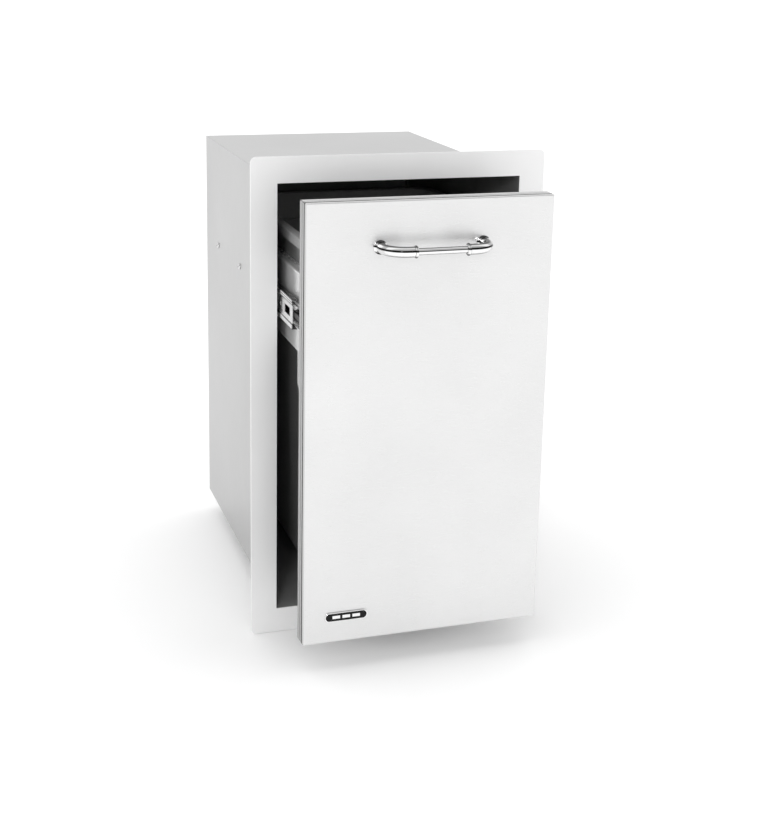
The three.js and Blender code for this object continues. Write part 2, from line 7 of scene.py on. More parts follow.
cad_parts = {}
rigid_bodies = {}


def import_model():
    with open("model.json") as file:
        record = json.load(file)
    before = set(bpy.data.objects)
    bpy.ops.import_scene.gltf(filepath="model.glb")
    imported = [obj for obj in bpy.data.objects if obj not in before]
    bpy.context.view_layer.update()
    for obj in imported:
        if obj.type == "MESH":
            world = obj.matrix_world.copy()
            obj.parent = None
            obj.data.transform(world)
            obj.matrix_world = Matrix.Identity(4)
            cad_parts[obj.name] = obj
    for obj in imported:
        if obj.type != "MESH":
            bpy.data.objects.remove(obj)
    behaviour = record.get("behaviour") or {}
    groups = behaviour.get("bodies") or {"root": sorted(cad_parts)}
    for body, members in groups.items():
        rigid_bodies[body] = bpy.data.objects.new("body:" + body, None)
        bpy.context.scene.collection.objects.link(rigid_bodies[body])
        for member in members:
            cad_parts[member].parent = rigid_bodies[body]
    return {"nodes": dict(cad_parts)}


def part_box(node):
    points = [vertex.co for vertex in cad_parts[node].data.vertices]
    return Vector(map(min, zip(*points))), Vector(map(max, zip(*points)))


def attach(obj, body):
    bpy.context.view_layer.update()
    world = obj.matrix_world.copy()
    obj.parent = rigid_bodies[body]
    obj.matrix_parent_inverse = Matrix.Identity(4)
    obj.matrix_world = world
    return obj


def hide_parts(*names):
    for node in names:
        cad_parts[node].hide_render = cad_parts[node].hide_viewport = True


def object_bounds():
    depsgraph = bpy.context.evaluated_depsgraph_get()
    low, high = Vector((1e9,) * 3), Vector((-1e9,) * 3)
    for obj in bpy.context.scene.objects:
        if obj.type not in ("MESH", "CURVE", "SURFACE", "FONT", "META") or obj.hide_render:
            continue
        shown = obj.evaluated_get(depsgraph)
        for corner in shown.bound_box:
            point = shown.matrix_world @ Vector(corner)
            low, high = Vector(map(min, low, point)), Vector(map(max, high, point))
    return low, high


# A built-in pull-out waste drawer in brushed stainless sheet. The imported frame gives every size
# and place; the pieces below are the same parts with their folds, races, seams and finishes.
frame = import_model()
cad_low, cad_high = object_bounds()
bpy.context.scene.view_settings.view_transform = "Standard"

# Camera: a medium lens a little above the object and to its left, with a small downward shift.
camera_spot, lens_mm, shift = (-0.598, -1.7493, 0.8879), 62.84, (0.0097, -0.1314)
heading, downward, roll = math.radians(18.03), math.radians(13.98), math.radians(1.14)
bpy.ops.object.camera_add(location=camera_spot)
camera = bpy.context.object
camera.data.lens = lens_mm
camera.data.shift_x, camera.data.shift_y = shift
camera.rotation_euler = (
    Matrix.Rotation(-heading, 3, "Z")
    @ Matrix.Rotation(math.pi / 2 - downward, 3, "X")
    @ Matrix.Rotation(roll, 3, "Z")
).to_euler()
bpy.context.scene.camera = camera


# Cabinet: five brushed panels spot-welded into a box. The outside is bare steel; the inside is
# painted near-black as painted shade, which stops at the panels' middle planes.
def new_material(name):
    material = bpy.data.materials.new(name)
    material.use_nodes = True
    tree = material.node_tree
    return material, tree, tree.nodes["Principled BSDF"]


def object_noise(tree, scale, stretch=(1, 1, 1), detail=3.0):
    place = tree.nodes.new("ShaderNodeTexCoord")
    mapping = tree.nodes.new("ShaderNodeMapping")
    mapping.inputs["Scale"].default_value = stretch
    noise = tree.nodes.new("ShaderNodeTexNoise")
    noise.inputs["Scale"].default_value = scale
    noise.inputs["Detail"].default_value = detail
    tree.links.new(place.outputs["Object"], mapping.inputs["Vector"])
    tree.links.new(mapping.outputs["Vector"], noise.inputs["Vector"])
    return noise.outputs["Fac"]


def spread(tree, value, low, high, start=0.3, end=0.7):
    span = tree.nodes.new("ShaderNodeMapRange")
    span.inputs["From Min"].default_value = start
    span.inputs["From Max"].default_value = end
    span.inputs["To Min"].default_value = low
    span.inputs["To Max"].default_value = high
    tree.links.new(value, span.inputs["Value"])
    return span.outputs["Result"]


def tones(tree, value, dark, light, start=0.3, end=0.7):
    ramp = tree.nodes.new("ShaderNodeValToRGB")
    ramp.color_ramp.elements[0].position = start
    ramp.color_ramp.elements[0].color = (*dark, 1)
    ramp.color_ramp.elements[1].position = end
    ramp.color_ramp.elements[1].color = (*light, 1)
    tree.links.new(value, ramp.inputs["Fac"])
    return ramp.outputs["Color"]


def relief(tree, value, strength, depth):
    bump = tree.nodes.new("ShaderNodeBump")
    bump.inputs["Strength"].default_value = strength
    bump.inputs["Distance"].default_value = depth
    tree.links.new(value, bump.inputs["Height"])
    return bump.outputs["Normal"]


def grey(tone):
    return (tone, tone, tone)


def only(piece):
    bpy.ops.object.select_all(action="DESELECT")
    piece.select_set(True)
    bpy.context.view_layer.objects.active = piece
    return piece


def work(piece, kind, **settings):
    only(piece)
    bpy.ops.object.modifier_add(type=kind)
    modifier = piece.modifiers[-1]
    for name, value in settings.items():
        setattr(modifier, name, value)
    bpy.ops.object.modifier_apply(modifier=modifier.name)


def smooth(piece, degrees=32):
    """Rounds the shading of the bends and keeps the flats flat."""
    only(piece)
    bpy.ops.object.shade_smooth_by_angle(angle=math.radians(degrees))
    work(piece, "WEIGHTED_NORMAL", keep_sharp=True)


def break_edges(piece, width, segments=2, sharpest=35):
    limit = math.radians(sharpest)
    work(piece, "BEVEL", width=width, segments=segments, limit_method="ANGLE", angle_limit=limit)
    smooth(piece)


def worked_copy(node, name):
    """A frame piece's own shape, with its loose triangles made into clean flat faces."""
    only(frame["nodes"][node])
    bpy.ops.object.duplicate()
    piece = bpy.context.object
    piece.name = name
    bpy.ops.object.parent_clear(type="CLEAR_KEEP_TRANSFORM")
    bpy.ops.object.mode_set(mode="EDIT")
    bpy.ops.mesh.select_all(action="SELECT")
    bpy.ops.mesh.remove_doubles(threshold=0.00001)
    bpy.ops.mesh.dissolve_limited(angle_limit=math.radians(1))
    bpy.ops.mesh.normals_make_consistent(inside=False)
    bpy.ops.object.mode_set(mode="OBJECT")
    return piece


def fit(piece, body, material, slot, *nodes):
    """Gives a finished piece its finish, the body that carries it and the nodes it stands for."""
    piece.data.materials.clear()
    piece.data.materials.append(material)
    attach(piece, body)
    if nodes:
        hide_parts(*nodes)


def box_steel(name, bare, shade_tones):
    """Upright-brushed sheet outside and painted shade inside, each from its darkest and lightest
    tone.

    The grain is long fine noise that turns the gloss and the surface a little."""
    material, tree, shader = new_material(name)
    lines = object_noise(tree, grain_scale, (across_grain, across_grain, along_grain), 4)
    clouds = object_noise(tree, 4.0)
    tree.links.new(tones(tree, clouds, *map(grey, bare)), shader.inputs["Base Color"])
    tree.links.new(spread(tree, lines, 0.30, 0.40), shader.inputs["Roughness"])
    tree.links.new(relief(tree, lines, 0.08, grain_depth), shader.inputs["Normal"])
    shader.inputs["Metallic"].default_value = 1
    # The dark inside finish is painted shade: the inside of the closed box gets no light.
    painted_shade = tree.nodes.new("ShaderNodeBsdfPrincipled")
    speckle = object_noise(tree, 900, detail=2)
    black = tones(tree, object_noise(tree, 9), *map(grey, shade_tones))
    tree.links.new(black, painted_shade.inputs["Base Color"])
    tree.links.new(spread(tree, speckle, 0.42, 0.6), painted_shade.inputs["Roughness"])
    tree.links.new(relief(tree, speckle, 0.25, 0.0003), painted_shade.inputs["Normal"])
    painted_shade.inputs["Specular IOR Level"].default_value = 0.35
    # Inside means nearer the middle than every wall's own middle plane.
    low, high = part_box("cabinet_back")
    half_sheet = (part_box("cabinet_top")[1][2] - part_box("cabinet_top")[0][2]) / 2
    middle = Vector((0, -1 + high[1] - half_sheet, (low[2] + high[2]) / 2))
    reach = (high[0] - half_sheet, 1, (high[2] - low[2]) / 2 - half_sheet)
    place = tree.nodes.new("ShaderNodeTexCoord")
    split = tree.nodes.new("ShaderNodeSeparateXYZ")
    tree.links.new(place.outputs["Object"], split.inputs["Vector"])
    inside = None
    for axis in range(3):
        near = tree.nodes.new("ShaderNodeMath")
        near.operation = "COMPARE"
        near.inputs[1].default_value = middle[axis]
        near.inputs[2].default_value = reach[axis]
        tree.links.new(split.outputs[axis], near.inputs[0])
        if inside is None:
            inside = near.outputs[0]
            continue
        both = tree.nodes.new("ShaderNodeMath")
        both.operation = "MULTIPLY"
        tree.links.new(inside, both.inputs[0])
        tree.links.new(near.outputs[0], both.inputs[1])
        inside = both.outputs[0]
    blend = tree.nodes.new("ShaderNodeMixShader")
    tree.links.new(inside, blend.inputs["Fac"])
    tree.links.new(shader.outputs["BSDF"], blend.inputs[1])
    tree.links.new(painted_shade.outputs["BSDF"], blend.inputs[2])
    tree.links.new(blend.outputs[0], tree.nodes["Material Output"].inputs["Surface"])
    return material


along_grain, across_grain, grain_scale, grain_depth = 3, 240, 14, 0.00008
# The sides are painted darker and the top, floor and back lighter, for how the light falls on them;
# the greyer inside of the top, floor and back is painted light that lifts their deeper shade.
side_steel_painted_darker = box_steel("wall steel, black inside", bare=(0.45, 0.49), shade_tones=(0.16, 0.20))
panel_steel_painted_lighter = box_steel("back steel, grey-black inside", bare=(0.52, 0.56), shade_tones=(0.26, 0.30))
sheet_edge = 0.0004
panel_steels = {
    "cabinet_side_left": side_steel_painted_darker,
    "cabinet_side_right": side_steel_painted_darker,
    "cabinet_floor": panel_steel_painted_lighter,
    "cabinet_top": panel_steel_painted_lighter,
    "cabinet_back": panel_steel_painted_lighter,
}
for node, steel in panel_steels.items():
    panel = worked_copy(node, node.replace("cabinet", "box"))
    break_edges(panel, sheet_edge)
    fit(panel, "cabinet", steel, "stainless", node)


# Front flange: one sheet with a rounded rim and a clean cut edge round the opening. It is brushed
# upright to a satin finish.
def brushed_sheet(name, grain, base, gloss, metal):
    """Sheet brushed along one axis; base and gloss are the ends of its tone and roughness."""
    material, tree, shader = new_material(name)
    stretch = tuple(along_grain if axis == grain else across_grain for axis in "XYZ")
    lines = object_noise(tree, grain_scale, stretch, 4)
    clouds = object_noise(tree, 5.5)
    tree.links.new(tones(tree, clouds, *map(grey, base)), shader.inputs["Base Color"])
    tree.links.new(spread(tree, lines, *gloss), shader.inputs["Roughness"])
    tree.links.new(relief(tree, lines, 0.055, grain_depth), shader.inputs["Normal"])
    shader.inputs["Metallic"].default_value = metal
    return material


hem_radius = 0.0009
# Its tone is set lighter than the door's: painted light that makes up for the shade the door casts on
# it.
flange_steel_lightened = brushed_sheet("flange satin steel", "Z", (0.80, 0.84), (0.44, 0.54), 0.5)
flange = worked_copy("front_flange", "picture_frame_flange")
break_edges(flange, hem_radius, 3)
fit(flange, "cabinet", flange_steel_lightened, "stainless", "front_flange")


# Drawer slides: cold-rolled zinc-plated rails that run in one another on balls. Each rail is bent
# from strip; the middle one has a sunk web with windows between its two races.
def zinc_plate(name, dark, light):
    material, tree, shader = new_material(name)
    mottle = object_noise(tree, 60, detail=5)
    scratches = object_noise(tree, 30, (90, 1.5, 90), 3)
    tree.links.new(tones(tree, mottle, dark, light), shader.inputs["Base Color"])
    tree.links.new(spread(tree, scratches, 0.16, 0.34), shader.inputs["Roughness"])
    tree.links.new(relief(tree, scratches, 0.1, 0.0001), shader.inputs["Normal"])
    shader.inputs["Metallic"].default_value = 1
    return material


def set_stops(ramp, stops):
    """Puts grey stops, as (position, tone) pairs, on a colour ramp."""
    while len(ramp.color_ramp.elements) < len(stops):
        ramp.color_ramp.elements.new(0.5)
    for element, (position, tone) in zip(ramp.color_ramp.elements, stops):
        element.position = position
        element.color = (*grey(tone), 1)


def banded(material, axis, bands, interpolation="CONSTANT"):
    """Takes a finish down to shares of its tone along one axis, from (place, share) pairs."""
    tree = material.node_tree
    shader = tree.nodes["Principled BSDF"]
    plain = shader.inputs["Base Color"].links[0].from_socket
    place = tree.nodes.new("ShaderNodeTexCoord")
    split = tree.nodes.new("ShaderNodeSeparateXYZ")
    tree.links.new(place.outputs["Object"], split.inputs["Vector"])
    first, last = bands[0][0], bands[-1][0]
    ramp = tree.nodes.new("ShaderNodeValToRGB")
    ramp.color_ramp.interpolation = interpolation
    set_stops(ramp, [((at - first) / (last - first), share) for at, share in bands])
    tree.links.new(spread(tree, split.outputs[axis], 0, 1, first, last), ramp.inputs["Fac"])
    mix = tree.nodes.new("ShaderNodeMix")
    mix.data_type = "RGBA"
    mix.blend_type = "MULTIPLY"
    mix.inputs["Factor"].default_value = 1
    tree.links.new(plain, mix.inputs["A"])
    tree.links.new(ramp.outputs["Color"], mix.inputs["B"])
    tree.links.new(mix.outputs["Result"], shader.inputs["Base Color"])
    return material


def moulded(name, dark, light, gloss=(0.42, 0.6), grain=500, depth=0.0002):
    material, tree, shader = new_material(name)
    pits = object_noise(tree, grain, detail=2)
    tree.links.new(tones(tree, object_noise(tree, 25), dark, light), shader.inputs["Base Color"])
    tree.links.new(spread(tree, pits, *gloss), shader.inputs["Roughness"])
    tree.links.new(relief(tree, pits, 0.25, depth), shader.inputs["Normal"])
    return material


def bent_strip(name, outline, along, thickness, fold=0.0):
    """Draws a strip's section corner by corner, pulls it out along Y and gives it its gauge."""
    bpy.ops.object.select_all(action="DESELECT")
    start = (outline[0][0], along[0], outline[0][1])
    bpy.ops.mesh.primitive_plane_add(size=0.001, location=start)
    strip = bpy.context.object
    strip.name = name
    bpy.ops.object.transform_apply(location=True, rotation=True, scale=True)
    bpy.ops.object.mode_set(mode="EDIT")
    bpy.ops.mesh.select_mode(type="VERT")
    bpy.ops.mesh.select_all(action="SELECT")
    bpy.ops.mesh.merge(type="CENTER")
    for (x, z), (next_x, next_z) in zip(outline, outline[1:]):
        step = (next_x - x, 0, next_z - z)
        bpy.ops.mesh.extrude_vertices_move(TRANSFORM_OT_translate={"value": step})
    bpy.ops.mesh.select_all(action="SELECT")
    pull = (0, along[1] - along[0], 0)
    bpy.ops.mesh.extrude_region_move(TRANSFORM_OT_translate={"value": pull})
    bpy.ops.object.mode_set(mode="OBJECT")
    if fold:
        work(strip, "BEVEL", width=fold, segments=4, limit_method="ANGLE", angle_limit=0.4)
    work(strip, "SOLIDIFY", thickness=thickness, offset=0, use_even_offset=True)
    only(strip)
    bpy.ops.object.mode_set(mode="EDIT")
    bpy.ops.mesh.select_all(action="SELECT")
    bpy.ops.mesh.normals_make_consistent(inside=False)
    bpy.ops.object.mode_set(mode="OBJECT")
    return strip


def block(name, low, high):
    """A plain piece of stock between two corners."""
    bpy.ops.object.select_all(action="DESELECT")
    centre = [(a + b) / 2 for a, b in zip(low, high)]
    size = [abs(b - a) for a, b in zip(low, high)]
    bpy.ops.mesh.primitive_cube_add(size=1, location=centre, scale=size)
    stock = bpy.context.object
    stock.name = name
    bpy.ops.object.transform_apply(location=True, rotation=True, scale=True)
    return stock


def cut(piece, tool):
    work(piece, "BOOLEAN", operation="DIFFERENCE", object=tool, solver="EXACT")
    only(tool)
    bpy.ops.object.delete()


def join(name, *pieces):
    bpy.ops.object.select_all(action="DESELECT")
    for piece in pieces:
        piece.select_set(True)
    bpy.context.view_layer.objects.active = pieces[0]
    bpy.ops.object.join()
    pieces[0].name = name
    return pieces[0]


def section(*corners):
    """Corners given as depth from the wall and height from the rail's middle, in mm."""
    return [(wall_x + way * d / 1000, rail_z + h / 1000) for d, h in corners]


def y_range(node):
    low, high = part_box(node)
    return low[1], high[1]


def cut_slots(rail, span, places, depths, half_length, half_height):
    """Cuts slots through a rail's web, between two depths, at shares of its length."""
    for place in places:
        y = span[0] + place * (span[1] - span[0])
        near = (wall_x + way * depths[0], y - half_length, rail_z - half_height)
        far = (wall_x + way * depths[1], y + half_length, rail_z + half_height)
        cut(rail, block("slot", near, far))


zinc = zinc_plate("bright zinc plate", grey(0.60), grey(0.70))
cage_zinc = zinc_plate("dull zinc cage", grey(0.3), grey(0.45))
black_plastic = moulded("black moulded plastic", grey(0.010), grey(0.022))
gauge, race_gauge, strip_edge = 0.0013, 0.0012, 0.00015
ball_count, ball_radius, cage_gauge, end_room, tie_length = 8, 0.0016, 0.0004, 0.008, 0.004
slide_z = sum(box[2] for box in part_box("drawer_rail_left")) / 2
# Heights from the rail's middle, in mm, with the share of the tone that starts there.
# The dark bands at the edges and at the folds between races and web are painted shade.
shade_painted = [
    (-19.6, 0.2), (-18.5, 1), (-13.4, 0.12), (-11.8, 1), (11.8, 0.12),
    (13.4, 1), (15.4, 0.25), (16.6, 1), (18.5, 0.2), (19.6, 0.2),
]
race_shade_bands = [(slide_z + height / 1000, share) for height, share in shade_painted]
race_zinc = banded(zinc_plate("zinc, greased races", grey(0.72), grey(0.82)), "Z", race_shade_bands)
for side, way in (("left", 1), ("right", -1)):
    wall_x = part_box(f"cabinet_rail_{side}")[0 if side == "left" else 1][0]
    rail_z = sum(box[2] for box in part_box(f"drawer_rail_{side}")) / 2

    # Cabinet rail, with rolled lips that hold the outer balls.
    lips = section((8.8, 23.7), (7.2, 24.3), (0.7, 24.3), (0.7, -24.3), (7.2, -24.3), (8.8, -23.7))
    span = y_range(f"cabinet_rail_{side}")
    cabinet_rail = bent_strip(f"slide_outer_member_{side}", lips, span, gauge, 0.0008)
    places = (0.07, 0.3, 0.43, 0.57, 0.7, 0.93)
    cut_slots(cabinet_rail, span, places, (-0.002, 0.003), 0.008, 0.0028)
    break_edges(cabinet_rail, strip_edge, 1, 50)
    fit(cabinet_rail, "cabinet", zinc, "zinc_steel", f"cabinet_rail_{side}")

    # Middle rail: races stand out on both edges of a sunk web.
    corners = [(10.2, 19.0), (3.2, 19.0), (3.2, 13.2), (4.35, 11.6)]
    races = section(*corners, *[(d, -h) for d, h in reversed(corners)])
    span = y_range(f"middle_rail_{side}")
    middle_rail = bent_strip(f"slide_middle_member_{side}", races, span, race_gauge, 0.0009)
    # Windows run between two distances from the front end; the long ones are also taller.
    windows = [(0.014, 0.042), (0.056, 0.062), (0.186, 0.214), (0.30, 0.306), (0.358, 0.386)]
    for near, far in windows:
        tall = 0.0055 if far - near > 0.01 else 0.0026
        opening_low = (wall_x + way * 0.002, span[0] + near, rail_z - tall)
        opening_high = (wall_x + way * 0.0066, span[0] + far, rail_z + tall)
        cut(middle_rail, block("window", opening_low, opening_high))
    break_edges(middle_rail, strip_edge, 1, 50)
    fit(middle_rail, f"middle_rail_{side}", race_zinc, "zinc_steel", f"middle_rail_{side}")

    # Drawer rail, whose lips carry the inner balls.
    lips = section(
        (5.9, 13.4), (7.0, 13.95), (12.0, 13.95), (12.0, -13.95), (7.0, -13.95), (5.9, -13.4)
    )
    span = y_range(f"drawer_rail_{side}")
    drawer_rail = bent_strip(f"slide_inner_member_{side}", lips, span, gauge, 0.0008)
    cut_slots(drawer_rail, span, (0.14, 0.36, 0.5, 0.64, 0.92), (0.0105, 0.0135), 0.006, 0.0024)
    break_edges(drawer_rail, strip_edge, 1, 50)
    fit(drawer_rail, "drawer", zinc, "zinc_steel", f"drawer_rail_{side}")

    # Ball cages: a thin strip along each race, with steel balls standing through it; the inner cage
    # is tied across at its ends.
    for cage, row, web, ball_depth in (("outer", 21.65, 2.05, 6.0), ("inner", 16.45, 5.4, 8.05)):
        span = y_range(f"{cage}_ball_cage_{side}")
        parts = []
        for up in (1, -1):
            if cage == "outer":
                strip_line = section((web, up * 13), (web, up * row), (ball_depth + 2, up * row))
            else:
                strip_line = section((web - 0.6, up * row), (ball_depth + 2, up * row))
            parts.append(bent_strip("cage strip", strip_line, span, cage_gauge))
            pitch = (span[1] - span[0] - 2 * end_room) / (ball_count - 1)
            for n in range(ball_count):
                y = span[0] + end_room + n * pitch
                at = (wall_x + way * ball_depth / 1000, y, rail_z + up * row / 1000)
                bpy.ops.object.select_all(action="DESELECT")
                bpy.ops.mesh.primitive_uv_sphere_add(
                    segments=12, ring_count=8, radius=ball_radius, location=at
                )
                ball = bpy.context.object
                bpy.ops.object.transform_apply(location=True, rotation=True, scale=True)
                bpy.ops.object.shade_smooth()
                parts.append(ball)
        if cage == "inner":
            for end in (span[0], span[1] - tie_length):
                tie_low = (wall_x + way * 0.0048, end, rail_z - row / 1000)
                tie_high = (wall_x + way * 0.0051, end + tie_length, rail_z + row / 1000)
                parts.append(block("tie", tie_low, tie_high))
        balls = join(f"{cage}_balls_and_cage_{side}", *parts)
        fit(balls, f"{cage}_ball_cage_{side}", cage_zinc, "zinc_steel", f"{cage}_ball_cage_{side}")

    # Rubber stop at the back of the cabinet rail.
    stop = worked_copy(f"rail_bumper_{side}", f"slide_end_stop_{side}")
    break_edges(stop, 0.0008, 3)
    fit(stop, "cabinet", black_plastic, "black_plastic", f"rail_bumper_{side}")

    # Release lever with a finger pad, and the rivet that it turns on.
    lever = worked_copy(f"release_lever_{side}", f"slide_release_lever_{side}")
    break_edges(lever, 0.0005, 3)
    fit(lever, f"release_lever_{side}", black_plastic, "black_plastic", f"release_lever_{side}")
    rivet = worked_copy(f"lever_rivet_{side}", f"slide_lever_rivet_{side}")
    break_edges(rivet, 0.00018, 2, 50)
    fit(rivet, "drawer", zinc, "zinc_steel", f"lever_rivet_{side}")


# Carrier: a ring of bent mill-finish sheet. The side strips have a wide lip folded in at the top
# to hang the bin on, with a row of drain slots along it.
carrier_steel = brushed_sheet("carrier mill steel", "Y", (0.72, 0.80), (0.14, 0.22), 0.6)
sheet_gauge, fold_radius, lip_width = 0.0015, 0.0022, 0.0198
drain_count, drain_pitch, drain_start, drain_length = 21, 0.019, 0.012, 0.009
drain_edges = (0.0095, 0.0125)
for side, way in (("left", 1), ("right", -1)):
    low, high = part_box(f"carrier_side_{side}")
    outer_x = low[0] if way > 0 else high[0]
    top, bottom = high[2] - sheet_gauge / 2, low[2] + sheet_gauge / 2
    web_x = outer_x + way * sheet_gauge / 2
    lip_x = outer_x + way * lip_width
    outline = [(lip_x, top), (web_x, top), (web_x, bottom)]
    carrier_side = bent_strip(
        f"carrier_strip_{side}", outline, (low[1], high[1]), sheet_gauge, fold_radius
    )
    for n in range(drain_count):
        y = low[1] + drain_start + n * drain_pitch
        near = (outer_x + way * drain_edges[0], y, top - 2 * sheet_gauge)
        far = (outer_x + way * drain_edges[1], y + drain_length, top + 2 * sheet_gauge)
        cut(carrier_side, block("drain", near, far))
    break_edges(carrier_side, 0.0002, 1, 50)
    fit(carrier_side, "drawer", carrier_steel, "stainless", f"carrier_side_{side}")
    bracket = worked_copy(f"door_bracket_{side}", f"carrier_bracket_{side}")
    break_edges(bracket, sheet_edge)
    fit(bracket, "drawer", carrier_steel, "stainless", f"door_bracket_{side}")
for node in ("carrier_front", "carrier_rear"):
    wall = worked_copy(node, node.replace("carrier", "carrier_cross"))
    break_edges(wall, 0.0005, 3)
    fit(wall, "drawer", carrier_steel, "stainless", node)


# Drawer front: a skin pan folded from brushed sheet, with small bends, open corner seams and a
# rolled groove round its edge, over a back pan that slips into it and steps out flush behind.
def pick_faces(piece, test):
    bpy.ops.object.mode_set(mode="EDIT")
    bpy.ops.mesh.select_mode(type="FACE")
    bpy.ops.mesh.select_all(action="DESELECT")
    bpy.ops.object.mode_set(mode="OBJECT")
    for face in piece.data.polygons:
        face.select = test(face)
    bpy.ops.object.mode_set(mode="EDIT")


def corner_seams(pan, y_start, y_end):
    """Cuts the mitred seam where two folded edges meet, at all four corners."""
    for x in (door_low[0], door_high[0]):
        for z in (door_low[2], door_high[2]):
            slit = block("slit", (-0.004, y_start, -seam / 2), (0.004, y_end, seam / 2))
            lean = math.radians(45) * (1 if (x < 0) == (z < door_middle) else -1)
            slit.rotation_euler = (0, -lean, 0)
            slit.location = (x, slit.location.y, z)
            only(slit)
            bpy.ops.object.transform_apply(location=True, rotation=True, scale=True)
            cut(pan, slit)


def shade_flanks(material, share):
    """Takes the two upright edges down: painted shade, since the light falls on the top edge and not
    on the sides.
    """
    left, right = door_low[0], door_high[0]
    sides = [(left - 0.001, share), (left + 0.0004, 1)]
    sides += [(right - 0.0004, share), (right + 0.001, share)]
    return banded(material, "X", sides)


door_low, door_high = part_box("door_skin")
door_middle = (door_low[2] + door_high[2]) / 2
pan_low, pan_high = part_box("door_back_pan")
skin_gauge, skin_bend, seam, pan_step, pan_bend = 0.0012, 0.0022, 0.0011, 0.004, 0.0006
groove_start, groove_end, groove_depth, spare = 0.0026, 0.0062, 0.0008, 0.01
front = door_low[1]
# The skin is painted much darker in the groove, as painted shade, and a little darker on the return
# behind it.
groove_shade_bands = [(front, 1), (front + 0.0024, 0.22), (front + 0.0066, 0.8), (front + 0.02, 0.8)]
door_steel = brushed_sheet("door brushed steel", "X", (0.705, 0.75), (0.26, 0.36), 0.8)
door_steel = shade_flanks(banded(door_steel, "Y", groove_shade_bands), 0.74)
skin = block("drawer_front_skin", door_low, door_high)
pick_faces(skin, lambda face: face.normal.y > 0.5)
bpy.ops.mesh.delete(type="FACE")
bpy.ops.object.mode_set(mode="OBJECT")
work(skin, "BEVEL", width=skin_bend, segments=5, limit_method="ANGLE", angle_limit=0.5)
work(skin, "SOLIDIFY", thickness=skin_gauge, offset=-1, use_even_offset=True)
groove = block(
    "groove",
    (door_low[0] - spare, front + groove_start, door_low[2] - spare),
    (door_high[0] + spare, front + groove_end, door_high[2] + spare),
)
core = block(
    "core",
    (door_low[0] + groove_depth, front, door_low[2] + groove_depth),
    (door_high[0] - groove_depth, door_high[1], door_high[2] - groove_depth),
)
cut(groove, core)
cut(skin, groove)
corner_seams(skin, front + groove_end, door_high[1] + 0.001)
smooth(skin)
fit(skin, "drawer", door_steel, "stainless", "door_skin")

step_y, rear_y = door_high[1] + pan_step, pan_high[1]
pan = block("drawer_front_back_pan", (pan_low[0], step_y, pan_low[2]), pan_high)
slip = skin_gauge + 0.0003
pick_faces(pan, lambda face: face.normal.y < -0.5)
bpy.ops.mesh.inset(thickness=slip)
forward = (0, pan_low[1] - door_high[1] - pan_step, 0)
bpy.ops.mesh.extrude_region_move(TRANSFORM_OT_translate={"value": forward})
bpy.ops.object.mode_set(mode="OBJECT")
work(pan, "BEVEL", width=pan_bend, segments=3, limit_method="ANGLE", angle_limit=0.5)
corner_seams(pan, step_y + 2 * pan_bend, rear_y - 0.0015)
smooth(pan)
# The back pan is painted dark up to the step where it slips into the skin, and half as dark over its
# last 1.4 mm: painted shade in the seam and along the rear edge.
pan_shade_bands = [(pan_low[1], 0.18), (step_y - 0.0002, 1), (rear_y - 0.0014, 0.5), (rear_y + 0.01, 0.5)]
pan_steel = brushed_sheet("back pan steel", "X", (0.60, 0.66), (0.34, 0.46), 0.6)
pan_steel = shade_flanks(banded(pan_steel, "Y", pan_shade_bands), 0.62)
fit(pan, "drawer", pan_steel, "stainless", "door_back_pan")


# Handle: two thick bent ends and a thinner rod between two beaded collars, on round rosettes,
# all polished and chromed.
def chrome_plate(name):
    material, tree, shader = new_material(name)
    smears = object_noise(tree, 45, detail=4)
    tree.links.new(tones(tree, smears, grey(0.86), grey(0.93)), shader.inputs["Base Color"])
    tree.links.new(spread(tree, smears, 0.02, 0.06), shader.inputs["Roughness"])
    shader.inputs["Metallic"].default_value = 1
    return material


def chrome_painted_reflection(name, middle_z, radius, *dark_reflection):
    """Chrome that is darker above, below and along one band: a painted reflection of dark
    surroundings.
    """
    start, end = dark_reflection
    shares = [(0, 0.05), (0.1, 0.3), (0.2, 1), (start - 0.05, 1), (start, 0.02), (end, 0.02)]
    shares += [(end + 0.06, 1), (0.88, 1), (0.95, 0.3), (1, 0.12)]
    bands = [(middle_z + radius * (2 * height - 1), share) for height, share in shares]
    return banded(chrome_plate(name), "Z", bands, "LINEAR")


def turned(name, profile, centre, axis, turn_steps=40):
    """Turns a profile of (along, radius) pairs about an axis, as on a lathe, into a closed part."""
    bpy.ops.object.select_all(action="DESELECT")
    bpy.ops.mesh.primitive_plane_add(size=0.001, location=(profile[0][1], 0, profile[0][0]))
    part = bpy.context.object
    part.name = name
    bpy.ops.object.transform_apply(location=True, rotation=True, scale=True)
    bpy.ops.object.mode_set(mode="EDIT")
    bpy.ops.mesh.select_mode(type="VERT")
    bpy.ops.mesh.select_all(action="SELECT")
    bpy.ops.mesh.merge(type="CENTER")
    for (along, radius), (next_along, next_radius) in zip(profile, profile[1:]):
        step = (next_radius - radius, 0, next_along - along)
        bpy.ops.mesh.extrude_vertices_move(TRANSFORM_OT_translate={"value": step})
    bpy.ops.mesh.select_all(action="SELECT")
    bpy.ops.mesh.spin(steps=turn_steps, angle=2 * math.pi, center=(0, 0, 0), axis=(0, 0, 1))
    bpy.ops.mesh.select_all(action="SELECT")
    bpy.ops.mesh.remove_doubles(threshold=0.000005)
    bpy.ops.mesh.normals_make_consistent(inside=False)
    bpy.ops.object.mode_set(mode="OBJECT")
    facing = Vector(axis).to_track_quat("Z", "Y").to_matrix().to_4x4()
    part.matrix_world = Matrix.Translation(centre) @ facing
    only(part)
    bpy.ops.object.transform_apply(location=True, rotation=True, scale=True)
    bpy.ops.object.shade_smooth_by_angle(angle=math.radians(40))
    return part


def arc(centre, radius, start, end, steps=6):
    """Points of a rounded edge in a turned profile, angles in degrees from the axis' direction."""
    angles = [math.radians(start + (end - start) * n / steps) for n in range(steps + 1)]
    return [(centre[0] + radius * math.cos(a), centre[1] + radius * math.sin(a)) for a in angles]


